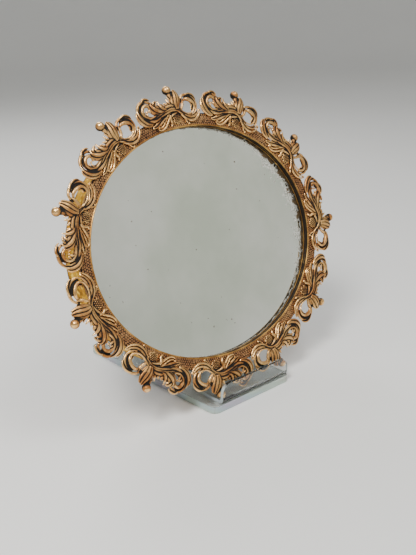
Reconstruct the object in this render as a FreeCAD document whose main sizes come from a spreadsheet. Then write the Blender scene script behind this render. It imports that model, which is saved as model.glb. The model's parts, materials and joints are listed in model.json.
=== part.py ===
import FreeCAD, Part
import math
import os
import Sketcher

# Oval gilt mirror on a clear easel stand.  Millimetres, +Z up, the mirror faces -Y.
# Origin: middle of the stand's base plate, on the surface it rests on.

doc = FreeCAD.newDocument("countertop_mirror")
sheet = doc.addObject("Spreadsheet::Sheet", "sizes")

SIZES = [
    ("opening_half_width", 121.5),
    ("opening_half_height", 98.5),
    ("lean_angle", 18.8),
    ("lip_wall", 1.2),
    ("lip_rise", 0.6),
    ("glass_recess", 5.5),
    ("band_width", 11.0),
    ("band_thick", 3.0),
    ("unit_count", 11.0),
    ("unit_phase", 7.4),
    ("scroll_bar", 2.1),
    ("scroll_sink", 0.1),
    ("ball_radius", 3.8),
    ("ball_reach", 32.5),
    ("stem_thick", 2.0),
    ("stem_thin", 1.5),
    ("leaf_scale", 1.0),
    ("drum_reach", 6.0),
    ("drum_wall", 1.2),
    ("drum_depth", 30.0),
    ("glass_overlap", 3.5),
    ("glass_thick", 3.0),
    ("felt_thick", 1.0),
    ("board_thick", 3.0),
    ("core_inset", 12.0),
    ("core_setback", 3.0),
    ("cover_inset", 7.2),
    ("cover_gap", 0.2),
    ("cover_thick", 2.0),
    ("pivot_inset", 2.0),
    ("button_radius", 4.0),
    ("button_length", 16.0),
    ("button_thick", 1.15),
    ("button_gap", 0.05),
    ("screw_radius", 1.6),
    ("screw_length", 9.0),
    ("screw_head_radius", 3.0),
    ("screw_head_height", 1.4),
    ("screw_slot", 0.8),
    ("pivot_play", 0.05),
    ("base_width", 94.0),
    ("base_depth", 180.0),
    ("base_thick", 6.0),
    ("base_corner", 7.0),
    ("edge_break", 0.5),
    ("sheet_thick", 3.0),
    ("cradle_width", 80.0),
    ("cradle_shift", 3.0),
    ("lip_height", 18.0),
    ("lip_corner", 9.0),
    ("bend_radius", 2.5),
    ("rest_height", 150.0),
    ("rest_corner", 12.0),
    ("prop_width", 60.0),
    ("prop_foot", 66.0),
    ("prop_head", 104.0),
    ("prop_head_span", 4.8),
    ("prop_foot_span", 4.5),
    ("seat_gap", 0.05),
    ("lip_clearance", 0.4),
    ("mirror_shift", -4.0),
]

for row, (alias, number) in enumerate(SIZES, 1):
    sheet.set("A%d" % row, alias)
    sheet.set("B%d" % row, str(number))
    sheet.setAlias("B%d" % row, alias)
doc.recompute()


class Size:
    """A number that also knows the spreadsheet expression it comes from."""

    def __init__(self, value, text):
        self.value = value
        self.text = text

    def __add__(self, other):
        other = as_size(other)
        return Size(self.value + other.value, "(%s + %s)" % (self.text, other.text))

    def __sub__(self, other):
        other = as_size(other)
        return Size(self.value - other.value, "(%s - %s)" % (self.text, other.text))

    def __mul__(self, other):
        other = as_size(other)
        return Size(self.value * other.value, "(%s * %s)" % (self.text, other.text))

    def __truediv__(self, other):
        other = as_size(other)
        return Size(self.value / other.value, "(%s / %s)" % (self.text, other.text))

    def __neg__(self):
        return Size(-self.value, "(0 - %s)" % self.text)


def as_size(thing):
    if isinstance(thing, Size):
        return thing
    return Size(float(thing), "%.9g" % thing)


def sine(angle):
    return Size(math.sin(math.radians(angle.value)), "sin(%s)" % angle.text)


def cosine(angle):
    return Size(math.cos(math.radians(angle.value)), "cos(%s)" % angle.text)


NAMED = {alias: Size(number, "sizes.%s" % alias) for alias, number in SIZES}


def bind(thing, prop, size):
    thing.setExpression(prop, as_size(size).text)


# ---------------------------------------------------------------- oval helper
half_w = NAMED["opening_half_width"]
half_h = NAMED["opening_half_height"]
STEPS = 2880


def oval_speed(turn):
    return math.hypot(half_w.value * math.sin(turn), half_h.value * math.cos(turn))


def build_arc_table():
    """Arc length round the opening, clockwise from the top."""
    table = [0.0]
    step = 2.0 * math.pi / STEPS
    for i in range(STEPS):
        middle = math.pi / 2 - (i + 0.5) * step
        table.append(table[-1] + oval_speed(middle) * step)
    return table


ARC = build_arc_table()
PERIMETER = ARC[-1]


def turn_at(arc):
    """Angle parameter of the oval at a clockwise arc length from the top."""
    arc = arc % PERIMETER
    low = 0
    high = STEPS
    while high - low > 1:
        middle = (low + high) // 2
        if ARC[middle] <= arc:
            low = middle
        else:
            high = middle
    part = (arc - ARC[low]) / (ARC[high] - ARC[low])
    return math.pi / 2 - (low + part) * 2.0 * math.pi / STEPS


def place_on_oval(arc, reach, level=0.0):
    """Point at an arc length, set outward by reach and forward by level."""
    turn = turn_at(arc)
    out_x = math.cos(turn) / half_w.value
    out_y = math.sin(turn) / half_h.value
    length = math.hypot(out_x, out_y)
    x = half_w.value * math.cos(turn) + reach * out_x / length
    y = half_h.value * math.sin(turn) + reach * out_y / length
    return FreeCAD.Vector(x, y, level)


# ------------------------------------------------------- where the mirror sits
lean = NAMED["lean_angle"]
lean_rad = math.radians(lean.value)
unit_count = int(NAMED["unit_count"].value)
unit_pitch = PERIMETER / unit_count
shelf_top = NAMED["base_thick"] + NAMED["sheet_thick"]
front_edge = -(NAMED["base_depth"] / 2)
lip_back = front_edge + NAMED["sheet_thick"]


def ball_centre(index):
    arc = index * unit_pitch - NAMED["unit_phase"].value
    return place_on_oval(arc, NAMED["ball_reach"].value)


lowest = min((ball_centre(i) for i in range(unit_count)), key=lambda p: p.y)
foot_drop = -lowest.y
centre_z = shelf_top.value + NAMED["seat_gap"].value + NAMED["ball_radius"].value
centre_z += foot_drop * math.cos(lean_rad)
centre_y = lip_back.value + NAMED["lip_clearance"].value + NAMED["ball_radius"].value
centre_y += foot_drop * math.sin(lean_rad)
CENTRE = FreeCAD.Vector(NAMED["mirror_shift"].value, centre_y, centre_z)
TILT = FreeCAD.Rotation(FreeCAD.Vector(1, 0, 0), 90.0 - lean.value)
SEAT = FreeCAD.Placement(CENTRE, TILT)


def seat(thing):
    """Set a mirror piece in the leaning frame of the mirror."""
    thing.Placement = SEAT
    bind(thing, "Placement.Rotation.Angle", Size(90.0, "90") - lean)


# ------------------------------------------------------------ solid helpers
def oval_plate(label, reach, back, thick):
    """Solid oval slab; reach beyond the opening, back face level, thickness."""
    edge = doc.addObject("Part::Ellipse", label + "_outline")
    edge.Placement = FreeCAD.Placement(FreeCAD.Vector(0, 0, back.value), FreeCAD.Rotation())
    bind(edge, "MajorRadius", half_w + reach)
    bind(edge, "MinorRadius", half_h + reach)
    bind(edge, "Placement.Base.z", back)
    slab = doc.addObject("Part::Extrusion", label)
    slab.Base = edge
    slab.DirMode = "Custom"
    slab.Dir = FreeCAD.Vector(0, 0, 1)
    slab.Solid = True
    bind(slab, "LengthFwd", thick)
    return slab


def oval_ring(label, inner, outer, back, thick):
    wide = oval_plate(label + "_outer", outer, back, thick)
    hole = oval_plate(label + "_inner", inner, back - 1, thick + 2)
    ring = doc.addObject("Part::Cut", label)
    ring.Base = wide
    ring.Tool = hole
    return ring


def fused(label, shapes):
    joined = doc.addObject("Part::MultiFuse", label)
    joined.Shapes = shapes
    joined.Refine = False
    return joined


def cut_by(label, base, tool):
    remains = doc.addObject("Part::Cut", label)
    remains.Base = base
    remains.Tool = tool
    return remains


def aim(start, end):
    """Placement that sends +Z from start towards end."""
    turn = FreeCAD.Rotation(FreeCAD.Vector(0, 0, 1), end.sub(start))
    return FreeCAD.Placement(start, turn)


def tangents_through(points):
    """Unit tangent at each point, from the circle through it and its neighbours."""
    found = []
    for before, here, after in zip(points, points[1:], points[2:]):
        first = here.sub(before)
        second = after.sub(here)
        blend = first.multiply(1.0 / first.dot(first)).add(
            second.multiply(1.0 / second.dot(second)))
        found.append(blend.normalize())

    def mirrored(direction, chord):
        chord = chord.normalize()
        return chord.multiply(2.0 * direction.dot(chord)).sub(direction)

    start = mirrored(found[0], points[1].sub(points[0]))
    finish = mirrored(found[-1], points[-1].sub(points[-2]))
    return [start] + found + [finish]


def arc_between(start, direction, end):
    """Arc that leaves start along direction and reaches end."""
    chord = end.sub(start)
    along = FreeCAD.Vector(chord).normalize()
    aside = direction.sub(FreeCAD.Vector(along).multiply(direction.dot(along)))
    if aside.Length < 1e-4:
        return Part.LineSegment(start, end)
    angle = direction.getAngle(chord)
    bulge = chord.Length / 2 * math.tan(angle / 2)
    middle = start.add(end).multiply(0.5).add(aside.normalize().multiply(bulge))
    return Part.Arc(start, middle, end)


def arc_chain(points):
    """Tangent arcs through the points: two arcs to each span."""
    directions = tangents_through(points)
    arcs = []
    for i in range(len(points) - 1):
        span = points[i + 1].sub(points[i])
        first = directions[i]
        second = directions[i + 1]
        both = first.add(second)
        spread = 2.0 * (1.0 - first.dot(second))
        reach = span.dot(both)
        if spread < 1e-6:
            arm = span.dot(span) / (4.0 * span.dot(second))
        else:
            arm = (-reach + math.sqrt(reach * reach + spread * span.dot(span))) / spread
        near = points[i].add(FreeCAD.Vector(first).multiply(arm))
        far = points[i + 1].sub(FreeCAD.Vector(second).multiply(arm))
        joint = near.add(far).multiply(0.5)
        turn = far.sub(near).normalize()
        arcs.append(arc_between(points[i], first, joint))
        arcs.append(arc_between(joint, turn, points[i + 1]))
    return arcs, directions[0]


def swept_bar(label, points, radius, level):
    """Round bar along a flat chain of tangent arcs through the points."""
    flat = [FreeCAD.Vector(p.x, p.y, 0) for p in points]
    arcs, heading = arc_chain(flat)
    path = doc.addObject("Sketcher::SketchObject", label + "_path")
    path.addGeometry(arcs, False)
    bind(path, "Placement.Base.z", level)
    ring = doc.addObject("Part::Circle", label + "_section")
    turn = FreeCAD.Rotation(FreeCAD.Vector(0, 0, 1), heading)
    ring.Placement = FreeCAD.Placement(flat[0], turn)
    bind(ring, "Radius", radius)
    bind(ring, "Placement.Base.z", level)
    doc.recompute()
    bar = doc.addObject("Part::Sweep", label)
    bar.Sections = [ring]
    bar.Spine = (path, ["Edge%d" % (i + 1) for i in range(len(arcs))])
    bar.Solid = True
    bar.Frenet = False
    return bar


def tapered(label, start, end, radius_start, radius_end):
    cone = doc.addObject("Part::Cone", label)
    cone.Placement = aim(start, end)
    bind(cone, "Radius1", radius_start)
    bind(cone, "Radius2", radius_end)
    cone.Height = end.sub(start).Length
    return cone


nodes = {}


# ------------------------------------------------------ frame band and opening
zero = Size(0.0, "0")
lip = oval_ring("inner_lip", zero, NAMED["lip_wall"], -NAMED["glass_recess"],
                NAMED["glass_recess"] + NAMED["lip_rise"])
band = oval_ring("matted_band", NAMED["lip_wall"], NAMED["band_width"],
                 -NAMED["band_thick"], NAMED["band_thick"])
nodes["inner_lip"] = lip
nodes["matted_band"] = band

# ------------------------------------------------------------ scroll units
# Curve of one scroll: distance along the opening's edge, distance outward.
SCROLL = [
    (-17.0, 22.6), (-21.6, 27.0), (-27.6, 23.6), (-28.0, 16.6), (-21.6, 12.8),
    (-11.0, 14.8), (-2.0, 17.2), (5.6, 14.8), (11.8, 9.8), (18.6, 8.4),
    (23.4, 13.2), (22.4, 20.8), (16.4, 24.6), (11.6, 22.2),
]
STEM_FOOT = (3.0, 16.0)
# Leaves and roots: start and end of each, then the radius at both ends.
LEAVES = [
    (5.2, 15.0, 5.2, 31.2, 2.4, 1.0),
    (8.2, 13.2, 8.8, 25.4, 1.7, 0.7),
    (3.0, 18.0, -4.2, 26.4, 1.5, 0.6),
    (-7.0, 16.2, -11.4, 25.0, 1.7, 0.6),
    (-12.0, 15.2, -16.2, 24.2, 1.7, 0.6),
    (-24.6, 13.4, -31.8, 14.2, 1.6, 1.4),
    (-31.4, 13.2, -33.4, 23.0, 1.4, 0.6),
    (23.2, 15.0, 24.2, 24.4, 1.5, 0.6),
]
ROOTS = [
    (-9.0, 15.4, -15.6, 4.6, 1.8, 0.9),
    (-10.0, 15.0, -24.0, 8.8, 1.8, 0.9),
    (-3.0, 16.6, -4.0, 3.6, 1.8, 0.9),
    (2.4, 16.0, 3.4, 8.6, 1.8, 1.0),
    (11.0, 10.6, 13.4, 2.8, 1.8, 0.9),
    (12.6, 9.6, 20.4, 5.4, 1.7, 1.3),
    (20.0, 8.2, 27.6, 10.2, 1.7, 0.9),
]

leaf_scale = NAMED["leaf_scale"]
bar_level = NAMED["scroll_bar"] - NAMED["scroll_sink"]
for index in range(unit_count):
    tag = "scroll_unit_%02d" % (index + 1)
    home = index * unit_pitch - NAMED["unit_phase"].value
    level = bar_level.value
    curve_points = [place_on_oval(home + along, reach) for along, reach in SCROLL]
    pieces = [swept_bar(tag + "_scroll", curve_points, NAMED["scroll_bar"], bar_level)]
    stem_foot = place_on_oval(home + STEM_FOOT[0], STEM_FOOT[1], level)
    pieces.append(tapered(tag + "_stem", stem_foot, ball_centre(index),
                          NAMED["stem_thick"], NAMED["stem_thin"]))
    ball = doc.addObject("Part::Sphere", tag + "_ball")
    outward = place_on_oval(home, NAMED["ball_reach"].value).sub(place_on_oval(home, 0.0))
    forward = FreeCAD.Vector(0, 0, 1)
    turn = FreeCAD.Rotation(outward, forward.cross(outward), forward, "ZXY")
    ball.Placement = FreeCAD.Placement(ball_centre(index), turn)
    bind(ball, "Radius", NAMED["ball_radius"])
    pieces.append(ball)
    for count, (along0, reach0, along1, reach1, thick, thin) in enumerate(LEAVES):
        start = place_on_oval(home + along0, reach0, level)
        end = place_on_oval(home + along1, reach1, level)
        pieces.append(tapered(tag + "_leaf%d" % count, start, end,
                              leaf_scale * thick, leaf_scale * thin))
    for count, (along0, reach0, along1, reach1, thick, thin) in enumerate(ROOTS):
        tip = leaf_scale * thin
        tip_level = tip - NAMED["scroll_sink"]
        start = place_on_oval(home + along0, reach0, level)
        end = place_on_oval(home + along1, reach1, tip_level.value)
        pieces.append(tapered(tag + "_root%d" % count, start, end,
                              leaf_scale * thick, tip))
    nodes[tag] = fused(tag, pieces)

# ------------------------------------------------------------ box behind
drum_inner = NAMED["drum_reach"] - NAMED["drum_wall"]
nodes["drum_wall"] = oval_ring("drum_wall", drum_inner, NAMED["drum_reach"],
                               -NAMED["drum_depth"],
                               NAMED["drum_depth"] - NAMED["band_thick"])
glass_back = NAMED["glass_recess"] + NAMED["glass_thick"]
felt_back = glass_back + NAMED["felt_thick"]
board_back = felt_back + NAMED["board_thick"]
nodes["mirror_glass"] = oval_plate("mirror_glass", NAMED["glass_overlap"],
                                   -glass_back, NAMED["glass_thick"])
nodes["glass_pad"] = oval_plate("glass_pad", NAMED["glass_overlap"],
                                -felt_back, NAMED["felt_thick"])
nodes["backing_board"] = oval_plate("backing_board", NAMED["glass_overlap"],
                                    -board_back, NAMED["board_thick"])
core_back = NAMED["drum_depth"] - NAMED["core_setback"]
core_blank = oval_ring("core_blank", -NAMED["core_inset"], drum_inner,
                       -core_back, core_back - board_back)
rebate = oval_plate("core_rebate", -(NAMED["cover_inset"] - NAMED["cover_gap"]),
                    -core_back - 1, NAMED["cover_thick"] + 1)
core_cut = cut_by("core_cut", core_blank, rebate)
nodes["back_cover"] = oval_plate("back_cover", -NAMED["cover_inset"],
                                 -core_back, NAMED["cover_thick"])

# ------------------------------------------------------ turn-buttons and screws
# Each button's place is a share of the way round the opening.
BUTTON_ARCS = [0.125, 0.375, 0.625, 0.875]
HEAD_TAPER = 0.8
SLOT_OVERRUN = 1.1
drills = []
screws = []
button_back = -(core_back + NAMED["button_gap"])
head_back = button_back - NAMED["button_thick"] - NAMED["button_gap"]
for count, share in enumerate(BUTTON_ARCS, 1):
    spot = place_on_oval(share * PERIMETER, -NAMED["pivot_inset"].value)
    inward = FreeCAD.Vector(0, 0, 0).sub(place_on_oval(share * PERIMETER, 1.0).sub(
        place_on_oval(share * PERIMETER, 0.0)))
    heading = math.degrees(math.atan2(inward.y, inward.x))
    flip = FreeCAD.Rotation(FreeCAD.Vector(0, 0, 1), heading)

    drill = doc.addObject("Part::Cylinder", "core_drill_%d" % count)
    drill.Placement = FreeCAD.Placement(FreeCAD.Vector(spot.x, spot.y, 0), flip)
    bind(drill, "Placement.Base.z", -core_back - 1)
    bind(drill, "Radius", NAMED["screw_radius"])
    bind(drill, "Height", NAMED["screw_length"] - 1)
    drills.append(drill)

    shank = doc.addObject("Part::Cylinder", "screw_shank_%d" % count)
    shank.Placement = FreeCAD.Placement(FreeCAD.Vector(spot.x, spot.y, 0), flip)
    bind(shank, "Placement.Base.z", head_back - NAMED["screw_head_height"] / 2)
    bind(shank, "Radius", NAMED["screw_radius"])
    bind(shank, "Height", NAMED["screw_length"])
    head = doc.addObject("Part::Cone", "screw_head_%d" % count)
    head.Placement = FreeCAD.Placement(FreeCAD.Vector(spot.x, spot.y, 0), flip)
    bind(head, "Placement.Base.z", head_back - NAMED["screw_head_height"])
    bind(head, "Radius1", NAMED["screw_head_radius"] * HEAD_TAPER)
    bind(head, "Radius2", NAMED["screw_head_radius"])
    bind(head, "Height", NAMED["screw_head_height"])
    solid = fused("screw_solid_%d" % count, [shank, head])
    slot = doc.addObject("Part::Box", "screw_slot_%d" % count)
    bind(slot, "Length", NAMED["screw_head_radius"] * 2 * SLOT_OVERRUN)
    bind(slot, "Width", NAMED["screw_slot"])
    bind(slot, "Height", NAMED["screw_head_height"] / 2 + 1)
    reach = NAMED["screw_head_radius"].value * SLOT_OVERRUN
    corner = flip.multVec(FreeCAD.Vector(-reach, -NAMED["screw_slot"].value / 2, 0))
    slot.Placement = FreeCAD.Placement(FreeCAD.Vector(spot.x + corner.x, spot.y + corner.y, 0),
                                       flip)
    bind(slot, "Placement.Base.z", head_back - NAMED["screw_head_height"] - 1)
    screws.append(cut_by("screw_%d" % count, solid, slot))

    # The button is a round-ended strip with its pivot hole at one end.
    body = doc.addObject("PartDesign::Body", "turn_button_%d" % count)
    floor = [f for f in body.Origin.OriginFeatures if f.Role == "XY_Plane"][0]
    outline = body.newObject("Sketcher::SketchObject", "button_outline_%d" % count)
    outline.AttachmentSupport = [(floor, "")]
    outline.MapMode = "FlatFace"
    rad = NAMED["button_radius"].value
    far = NAMED["button_length"].value
    up = FreeCAD.Vector(0, 0, 1)
    near_end = Part.Circle(FreeCAD.Vector(0, 0, 0), up, rad)
    far_end = Part.Circle(FreeCAD.Vector(far, 0, 0), up, rad)
    outline.addGeometry(Part.ArcOfCircle(near_end, math.pi / 2, 3 * math.pi / 2), False)
    outline.addGeometry(Part.LineSegment(FreeCAD.Vector(0, -rad, 0),
                                         FreeCAD.Vector(far, -rad, 0)), False)
    outline.addGeometry(Part.ArcOfCircle(far_end, -math.pi / 2, math.pi / 2), False)
    outline.addGeometry(Part.LineSegment(FreeCAD.Vector(far, rad, 0),
                                         FreeCAD.Vector(0, rad, 0)), False)
    for first, second in ((0, 1), (1, 2), (2, 3)):
        outline.addConstraint(Sketcher.Constraint("Tangent", first, 2, second, 1))
    outline.addConstraint(Sketcher.Constraint("Tangent", 3, 2, 0, 1))
    outline.addConstraint(Sketcher.Constraint("Coincident", 0, 3, -1, 1))
    outline.addConstraint(Sketcher.Constraint("Horizontal", 1))
    width_rule = outline.addConstraint(Sketcher.Constraint("Radius", 0, rad))
    reach_rule = outline.addConstraint(Sketcher.Constraint("DistanceX", 1, 1, 1, 2, far))
    bind(outline, "Constraints[%d]" % width_rule, NAMED["button_radius"])
    bind(outline, "Constraints[%d]" % reach_rule, NAMED["button_length"])
    strip = body.newObject("PartDesign::Pad", "button_strip_%d" % count)
    strip.Profile = outline
    bind(strip, "Length", NAMED["button_thick"])
    eye = body.newObject("Sketcher::SketchObject", "button_eye_%d" % count)
    eye.AttachmentSupport = [(floor, "")]
    eye.MapMode = "FlatFace"
    eye_radius = NAMED["screw_radius"] + NAMED["pivot_play"]
    eye.addGeometry(Part.Circle(FreeCAD.Vector(0, 0, 0), up, eye_radius.value), False)
    eye.addConstraint(Sketcher.Constraint("Coincident", 0, 3, -1, 1))
    eye_rule = eye.addConstraint(Sketcher.Constraint("Radius", 0, eye_radius.value))
    bind(eye, "Constraints[%d]" % eye_rule, eye_radius)
    bore = body.newObject("PartDesign::Pocket", "button_bore_%d" % count)
    bore.Profile = eye
    bore.Reversed = True
    bind(bore, "Length", NAMED["button_thick"] * 2)
    body.Tip = bore
    local = FreeCAD.Placement(
        FreeCAD.Vector(spot.x, spot.y, button_back.value - NAMED["button_thick"].value), flip)
    body.Placement = SEAT.multiply(local)
    nodes["turn_button_%d" % count] = body

drill_set = fused("core_drills", drills)
nodes["core_ring"] = cut_by("core_ring", core_cut, drill_set)
screw_set = doc.addObject("Part::Compound", "button_screws")
screw_set.Links = screws
nodes["button_screws"] = screw_set

for label in list(nodes):
    if not label.startswith("turn_button"):
        seat(nodes[label])


# ------------------------------------------------------------ clear stand
def polygon(sketch, corners):
    """Closed outline; every corner is held by two bound distances."""
    count = len(corners)
    for i in range(count):
        first = corners[i]
        second = corners[(i + 1) % count]
        sketch.addGeometry(Part.LineSegment(
            FreeCAD.Vector(first[0].value, first[1].value, 0),
            FreeCAD.Vector(second[0].value, second[1].value, 0)), False)
    for i in range(count):
        sketch.addConstraint(Sketcher.Constraint("Coincident", i, 2, (i + 1) % count, 1))
    for i, (across, upward) in enumerate(corners):
        for kind, size in (("DistanceX", across), ("DistanceY", upward)):
            rule = sketch.addConstraint(
                Sketcher.Constraint(kind, -1, 1, i, 1, size.value))
            bind(sketch, "Constraints[%d]" % rule, size)


def padded_outline(label, plane_role, corners, start, length):
    """Body made from one outline, padded from start by length."""
    body = doc.addObject("PartDesign::Body", label)
    plane = [f for f in body.Origin.OriginFeatures if f.Role == plane_role][0]
    sketch = body.newObject("Sketcher::SketchObject", label + "_outline")
    sketch.AttachmentSupport = [(plane, "")]
    sketch.MapMode = "FlatFace"
    polygon(sketch, corners)
    bind(sketch, "AttachmentOffset.Base.z", start)
    pad = body.newObject("PartDesign::Pad", label + "_pad")
    pad.Profile = sketch
    bind(pad, "Length", length)
    doc.recompute()
    return body, pad


def dressed(body, base, kind, prop, size, wanted):
    """Fillet or chamfer the edges of base picked by wanted(edge)."""
    names = []
    for i, edge in enumerate(base.Shape.Edges, 1):
        if wanted(edge):
            names.append("Edge%d" % i)
    feature = body.newObject(kind, "%s_%s_%d" % (body.Name, prop, len(body.Group)))
    feature.Base = (base, names)
    bind(feature, prop, size)
    doc.recompute()
    return feature


def runs_along(edge, axis):
    if len(edge.Vertexes) < 2:
        return False
    move = edge.Vertexes[1].Point.sub(edge.Vertexes[0].Point)
    return abs(abs(move.normalize().dot(axis)) - 1.0) < 1e-6


AXIS_X = FreeCAD.Vector(1, 0, 0)
AXIS_Y = FreeCAD.Vector(0, 1, 0)
AXIS_Z = FreeCAD.Vector(0, 0, 1)

half_base = NAMED["base_width"] / 2
half_deep = NAMED["base_depth"] / 2
base_corners = [(-half_base, -half_deep), (half_base, -half_deep),
                (half_base, half_deep), (-half_base, half_deep)]
base, base_pad = padded_outline("base_plate", "XY_Plane", base_corners, zero,
                                NAMED["base_thick"])
base_round = dressed(base, base_pad, "PartDesign::Fillet", "Radius",
                     NAMED["base_corner"], lambda e: runs_along(e, AXIS_Z))
base_break = dressed(base, base_round, "PartDesign::Chamfer", "Size",
                     NAMED["edge_break"],
                     lambda e: abs(e.BoundBox.ZMin - NAMED["base_thick"].value) < 1e-6)
base.Tip = base_break
nodes["base_plate"] = base

# The cradle is one sheet: front lip, shelf and leaning back rest.
gauge = NAMED["sheet_thick"]
sin_lean = sine(lean)
cos_lean = cosine(lean)
drum_back = NAMED["drum_depth"] + NAMED["seat_gap"]
rest_front_y = as_size(CENTRE.y) + drum_back * cos_lean
rest_front_z = as_size(CENTRE.z) - drum_back * sin_lean
slope = sin_lean / cos_lean
rest_foot = rest_front_y - (rest_front_z - shelf_top) * slope
rest_top_z = NAMED["rest_height"]
rest_top_y = rest_foot + (rest_top_z - shelf_top) * slope
back_shift_y = gauge * cos_lean
back_shift_z = gauge * sin_lean
under_y = rest_foot + gauge / cos_lean - gauge * slope
profile = [
    (front_edge, NAMED["base_thick"]),
    (under_y, NAMED["base_thick"]),
    (rest_top_y + back_shift_y, rest_top_z - back_shift_z),
    (rest_top_y, rest_top_z),
    (rest_foot, shelf_top),
    (lip_back, shelf_top),
    (lip_back, NAMED["base_thick"] + NAMED["lip_height"]),
    (front_edge, NAMED["base_thick"] + NAMED["lip_height"]),
]
cradle_start = NAMED["cradle_shift"] - NAMED["cradle_width"] / 2
cradle, cradle_pad = padded_outline("cradle_sheet", "YZ_Plane", profile, cradle_start,
                                    NAMED["cradle_width"])


def near_line(edge, y, z):
    return (runs_along(edge, AXIS_X) and abs(edge.Vertexes[0].Y - y) < 1e-4
            and abs(edge.Vertexes[0].Z - z) < 1e-4)


inner_bends = [(rest_foot.value, shelf_top.value), (lip_back.value, shelf_top.value)]
outer_bends = [(front_edge.value, NAMED["base_thick"].value),
               (under_y.value, NAMED["base_thick"].value)]
bend_in = dressed(cradle, cradle_pad, "PartDesign::Fillet", "Radius", NAMED["bend_radius"],
                  lambda e: any(near_line(e, y, z) for y, z in inner_bends))
bend_out = dressed(cradle, bend_in, "PartDesign::Fillet", "Radius",
                   NAMED["bend_radius"] + gauge,
                   lambda e: any(near_line(e, y, z) for y, z in outer_bends))
lip_top = NAMED["base_thick"].value + NAMED["lip_height"].value
lip_round = dressed(cradle, bend_out, "PartDesign::Fillet", "Radius", NAMED["lip_corner"],
                    lambda e: runs_along(e, AXIS_Y) and abs(e.BoundBox.ZMin - lip_top) < 1e-6)
rest_axis = FreeCAD.Vector(0, math.cos(lean_rad), -math.sin(lean_rad))
rest_round = dressed(cradle, lip_round, "PartDesign::Fillet", "Radius", NAMED["rest_corner"],
                     lambda e: runs_along(e, rest_axis)
                     and abs(e.BoundBox.ZMax - rest_top_z.value) < 1e-6)
cradle.Tip = rest_round
nodes["cradle_sheet"] = cradle

# Rear prop: a flat sheet from the base up to the back of the rest.
prop_top_z = NAMED["prop_head"]
rest_rear_top_y = under_y + (prop_top_z - NAMED["base_thick"]) * slope
prop_low_z = prop_top_z - NAMED["prop_head_span"]
rest_rear_low_y = under_y + (prop_low_z - NAMED["base_thick"]) * slope
prop_foot = NAMED["prop_foot"]
foot_span = NAMED["prop_foot_span"]
prop_profile = [
    (prop_foot - foot_span, NAMED["base_thick"]),
    (prop_foot, NAMED["base_thick"]),
    (rest_rear_top_y, prop_top_z),
    (rest_rear_low_y, prop_low_z),
]
prop_start = NAMED["cradle_shift"] - NAMED["prop_width"] / 2
prop, prop_pad = padded_outline("rear_prop", "YZ_Plane", prop_profile, prop_start,
                                NAMED["prop_width"])
nodes["rear_prop"] = prop

# ------------------------------------------------------------ check and export
doc.recompute()
os.makedirs("parts", exist_ok=True)
for item in doc.Objects:
    for state in item.State:
        if state in ("Invalid", "Error"):
            raise RuntimeError("%s is %s" % (item.Name, state))
for label in sorted(nodes):
    shape = nodes[label].Shape
    if shape.isNull() or not shape.isValid():
        raise RuntimeError("%s has no sound shape" % label)
    shape.exportStep("parts/%s.step" % label)
    box = shape.BoundBox
    print("%-16s solids %d volume %.1f  x %.1f..%.1f y %.1f..%.1f z %.1f..%.1f" % (
        label, len(shape.Solids), shape.Volume, box.XMin, box.XMax, box.YMin, box.YMax,
        box.ZMin, box.ZMax))
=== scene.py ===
import json
import math

import bpy
import numpy as np
from mathutils import Matrix, Vector, noise


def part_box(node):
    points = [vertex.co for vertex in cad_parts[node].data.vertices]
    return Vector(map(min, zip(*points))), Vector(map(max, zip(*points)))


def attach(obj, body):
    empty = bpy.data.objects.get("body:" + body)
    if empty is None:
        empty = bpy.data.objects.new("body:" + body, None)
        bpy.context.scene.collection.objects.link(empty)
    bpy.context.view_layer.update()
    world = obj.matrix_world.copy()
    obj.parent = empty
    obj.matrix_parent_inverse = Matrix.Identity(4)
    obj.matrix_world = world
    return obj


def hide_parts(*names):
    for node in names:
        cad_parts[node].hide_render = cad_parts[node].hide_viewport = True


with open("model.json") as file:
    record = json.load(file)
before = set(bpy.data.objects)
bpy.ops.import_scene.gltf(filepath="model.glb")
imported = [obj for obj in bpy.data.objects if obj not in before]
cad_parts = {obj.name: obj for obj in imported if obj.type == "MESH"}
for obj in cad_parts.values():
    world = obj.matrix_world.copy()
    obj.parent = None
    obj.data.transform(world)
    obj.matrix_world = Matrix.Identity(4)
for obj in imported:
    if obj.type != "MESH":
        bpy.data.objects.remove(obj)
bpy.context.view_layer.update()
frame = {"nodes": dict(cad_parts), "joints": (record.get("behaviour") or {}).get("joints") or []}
MM = 0.001

# ------------------------------------------------------------ the mirror's own frame
joints = {joint["name"]: joint for joint in frame["joints"]}
UP = np.array(joints["mirror_lift"]["axis"], float)
OUT = np.array(joints["button_turn_1"]["axis"], float)
ACROSS = np.array([1.0, 0.0, 0.0])

# Sizes of the CAD part, in millimetres. Reach is outward from the opening's edge,
# and level is forward from the front face of the band.
BAND_THICK = 3.0
BAND_WIDTH = 11.0
LIP_WALL = 1.2
GLASS_RECESS = 5.5
DRUM_REACH = 6.0
DRUM_WALL = 1.2
DRUM_DEPTH = 30.0
BALL_REACH = 32.5
BALL_RADIUS = 3.8
UNIT_COUNT = 11
UNIT_PHASE = 7.4

band_low, band_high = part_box("matted_band")
CENTRE = np.array((band_low + band_high) / 2) + OUT * (BAND_THICK / 2 * MM)
HALF_W = (band_high.x - band_low.x) / 2 / MM - BAND_WIDTH
band_rise = (band_high.z - band_low.z) / MM - BAND_THICK * abs(OUT[2])
HALF_H = band_rise / 2 / UP[2] - BAND_WIDTH

# Arc length round the opening, clockwise from its top.
STEPS = 3600
turns = np.pi / 2 - np.arange(STEPS + 1) * 2 * np.pi / STEPS
middles = (turns[1:] + turns[:-1]) / 2
spans = np.hypot(HALF_W * np.sin(middles), HALF_H * np.cos(middles)) * 2 * np.pi / STEPS
ARCS = np.concatenate([[0.0], np.cumsum(spans)])
PERIMETER = ARCS[-1]
PITCH = PERIMETER / UNIT_COUNT


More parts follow.
